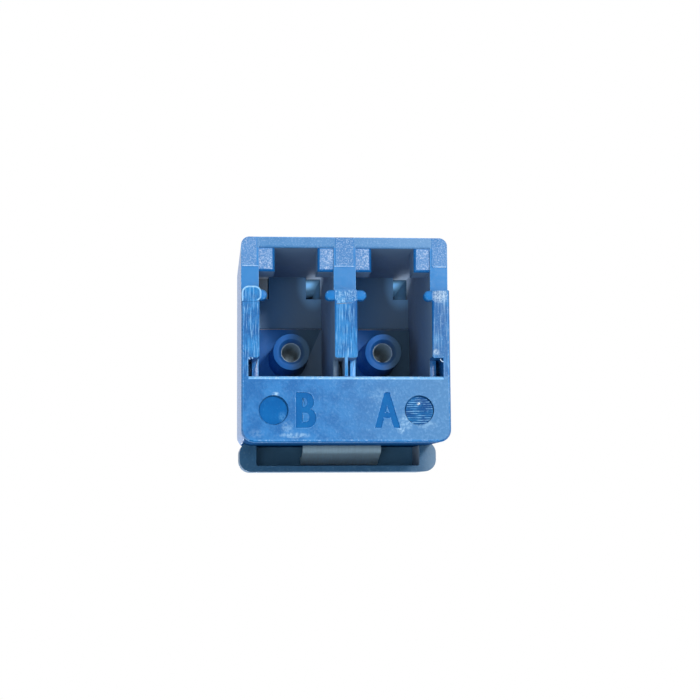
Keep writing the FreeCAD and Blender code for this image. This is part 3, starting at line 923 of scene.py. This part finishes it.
def addFlash():
    # thin flash lines under the posts, and burrs at the feet of the outer bars
    flash = {
        "radius": 0.034 * mm,
        "left": (-bodyHalf + 0.04 * mm, -wallX + 0.10 * mm),
        "centre": (-innerWallX + 0.05 * mm, innerWallX - 0.10 * mm),
        "right": (wallX + 0.20 * mm, bodyHalf - 0.08 * mm),
        "burrPlace": (wallX + 0.66 * mm, mouthY + 0.06 * mm, barFootZ - 0.08 * mm),
        "burrSize": 0.15 * mm,
        "flakes": ((-wallX - 0.55 * mm, 0.16), (-wallX - 0.44 * mm, -0.02), (-wallX - 0.64 * mm, -0.06)),
        "flakeTurns": (35, -5, -45),
    }
    for side in ("left", "centre", "right"):
        addPostFlash("postFlash" + side.capitalize(), *flash[side], flash["radius"])
    addBurr(flash["burrPlace"], flash["burrSize"])
    for letter, (x, rise), turn in zip("ABC", flash["flakes"], flash["flakeTurns"]):
        addFlake("leftBarFlake" + letter, x, rise, turn)


addBarHead()
addFlash()
print("worn details made")


def buildRearHousing():
    housing = copyNode("rear_housing", "rearHousing")
    for name in ("shell", "innerRear"):
        housing.data.materials.append(blues[name])
    for face in housing.data.polygons:
        x, y, z = face.center
        inside = abs(x) < wallX + 0.01 * mm and portFloorZ - 0.01 * mm < z < ceilingZ + 0.01 * mm
        atEnd = face.normal.y > 0.7 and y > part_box("rear_housing")[1].y - 0.1 * mm
        face.material_index = 1 if inside and not atEnd else 0
    soften(housing, 0.045)
    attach(housing, "root")
    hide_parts("rear_housing")


buildRearHousing()


def ceramic():
    look = {"base": (0.54, 0.67, 0.76), "deep": (0.49, 0.62, 0.71), "roughness": 0.70, "ior": 1.6}
    material, tree, shader, spot = startMaterial("zirconia")
    mottle = window(tree, noise(tree, spot, (2.0, 2.0, 2.0), 2.0), 0.35, 0.65)
    tree.links.new(mixColour(tree, mottle, look["deep"], look["base"]), shader.inputs["Base Color"])
    shader.inputs["Roughness"].default_value = look["roughness"]
    shader.inputs["IOR"].default_value = look["ior"]
    addBump(tree, shader, noise(tree, spot, (9.0, 1.2, 9.0), 2.0), 0.002)
    return material


def springSteel():
    # brushed strip with painted shade, darker towards its top, where it goes into the shade of the body, and
    # a painted pale reflection towards its foot
    look = {"top": (0.018, 0.045, 0.085), "bottom": (0.55, 0.82, 1.00), "grain": 0.90, "ior": 1.45}
    leafLow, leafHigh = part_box("spring_leaf")
    material, tree, shader, spot = startMaterial("leafSteel")
    height = tree.nodes.new("ShaderNodeSeparateXYZ")
    tree.links.new(spot, height.inputs[0])
    rise = window(tree, height.outputs["Z"], leafLow.z, leafHigh.z)
    brushed = noise(tree, spot, (9.0, 0.8, 0.8), 3.0, 0.6)
    clean = mixColour(tree, rise, look["bottom"], look["top"])
    dull = mixColour(tree, rise, tuple(look["grain"] * value for value in look["bottom"]),
                     tuple(look["grain"] * value for value in look["top"]))
    colour = mixColour(tree, window(tree, brushed, 0.35, 0.65), dull, clean)
    tree.links.new(colour, shader.inputs["Base Color"])
    tree.links.new(window(tree, brushed, 0.3, 0.7, 0.40, 0.52), shader.inputs["Roughness"])
    shader.inputs["IOR"].default_value = look["ior"]
    addBump(tree, shader, brushed, 0.003)
    return material


def turnSleeve(piece, node):
    # a sleeve turns freely in its holder, and its slit lies away from the front's light
    low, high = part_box(node)
    pick(piece)
    bpy.ops.object.mode_set(mode="EDIT")
    bpy.ops.mesh.select_all(action="SELECT")
    bpy.ops.transform.rotate(value=math.radians(180), orient_axis="Y",
                             center_override=((low.x + high.x) / 2, 0, axisZ))
    bpy.ops.object.mode_set(mode="OBJECT")


def buildSmallParts():
    zirconia, steel = ceramic(), springSteel()
    parts = {
        "split_sleeve_a": ("sleeveA", zirconia),
        "split_sleeve_b": ("sleeveB", zirconia),
        "spring_leaf": ("springLeaf", steel),
    }
    for node, (name, material) in parts.items():
        piece = copyNode(node, name)
        piece.data.materials.append(material)
        if material == zirconia:
            turnSleeve(piece, node)
        soften(piece, 0.03)
        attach(piece, "root")
        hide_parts(node)


buildSmallParts()
print("rear housing, sleeves and leaf made")


def whiteForCamera(tree, ambient, pale):
    # one shade lights the object, and the pale one is what the camera and reflections see
    seen = tree.nodes.new("ShaderNodeLightPath")
    sight = math2(tree, "MAXIMUM", seen.outputs["Is Camera Ray"], seen.outputs["Is Glossy Ray"])
    sight = math2(tree, "MAXIMUM", sight, seen.outputs["Is Transmission Ray"])
    mix = tree.nodes.new("ShaderNodeMixShader")
    tree.links.new(sight, mix.inputs[0])
    tree.links.new(ambient, mix.inputs[1])
    tree.links.new(pale, mix.inputs[2])
    return mix.outputs[0]


def addRoom():
    room = {
        "below": 0.06,                 # strength of the light from below and from above
        "above": 0.50,
        "airColour": (0.93, 0.97, 1.0),
        "frontSide": 0.40,             # what the gloss sees in front of the ports
        "floorDrop": 250.0,
        "floorSize": 4.0,
        "floorColour": (0.50, 0.51, 0.52),
        "floorRoughness": 0.8,
        "floorGlow": 0.85,
    }
    world = bpy.data.worlds.new("paleRoom")
    bpy.context.scene.world = world
    world.use_nodes = True
    tree = world.node_tree
    pale = tree.nodes["Background"]
    pale.inputs["Color"].default_value = (1, 1, 1, 1)
    soft = tree.nodes.new("ShaderNodeBackground")
    soft.inputs["Color"].default_value = room["airColour"] + (1.0,)
    way = tree.nodes.new("ShaderNodeTexCoord").outputs["Generated"]
    height = tree.nodes.new("ShaderNodeSeparateXYZ")
    tree.links.new(way, height.inputs[0])
    rise = window(tree, height.outputs["Z"], -0.5, 0.8, room["below"], room["above"])
    tree.links.new(rise, soft.inputs["Strength"])
    camera = tree.nodes.new("ShaderNodeLightPath").outputs["Is Camera Ray"]
    behind = window(tree, height.outputs["Y"], -0.85, -0.25, room["frontSide"], 1.0)
    tree.links.new(math2(tree, "MAXIMUM", camera, behind), pale.inputs["Strength"])
    both = whiteForCamera(tree, soft.outputs[0], pale.outputs[0])
    tree.links.new(both, tree.nodes["World Output"].inputs["Surface"])

    deselectAll()
    bpy.ops.mesh.primitive_plane_add(size=room["floorSize"], location=(0, 0, -room["floorDrop"] * mm))
    floor = bpy.context.object
    floor.name = "floor"
    settle(floor)
    material, tree, shader, spot = startMaterial("paleFloor")
    shader.inputs["Base Color"].default_value = room["floorColour"] + (1.0,)
    shader.inputs["Roughness"].default_value = room["floorRoughness"]
    glow = tree.nodes.new("ShaderNodeEmission")
    glow.inputs["Color"].default_value = (1, 1, 1, 1)
    glow.inputs["Strength"].default_value = room["floorGlow"]
    lit = tree.nodes.new("ShaderNodeAddShader")
    tree.links.new(glow.outputs[0], lit.inputs[0])
    tree.links.new(shader.outputs[0], lit.inputs[1])
    both = whiteForCamera(tree, shader.outputs[0], lit.outputs[0])
    tree.links.new(both, tree.nodes["Material Output"].inputs["Surface"])
    floor.data.materials.append(material)


def addLamps():
    target = Vector((0, -3, 6)) * mm
    lamps = {
        "keyLamp": {"place": (160, -560, 155), "size": 60, "power": 1.7, "colour": (1.0, 0.99, 0.97)},
        "fillLamp": {"place": (-30, -420, -12), "size": 120, "power": 0.36, "colour": (0.97, 0.98, 1.0)},
        "lowFillLamp": {"place": (-150, -400, -130), "size": 120, "power": 0.28, "colour": (0.94, 0.97, 1.0)},
        "backLamp": {"place": (-55, 260, -95), "size": 120, "power": 2.2, "colour": (0.95, 0.98, 1.0)},
    }
    for name, lamp in lamps.items():
        deselectAll()
        bpy.ops.object.light_add(type="AREA", location=Vector(lamp["place"]) * mm)
        light = bpy.context.object
        light.name = name
        light.data.size = lamp["size"] * mm
        light.data.energy = lamp["power"]
        light.data.color = lamp["colour"]
        light.visible_glossy = name == "keyLamp"          # the soft fills leave no shine
        light.rotation_euler = (target - light.location).to_track_quat("-Z", "Y").to_euler()


addRoom()
addLamps()
print("room and lamps made")

bpy.context.scene.view_settings.view_transform = "Standard"
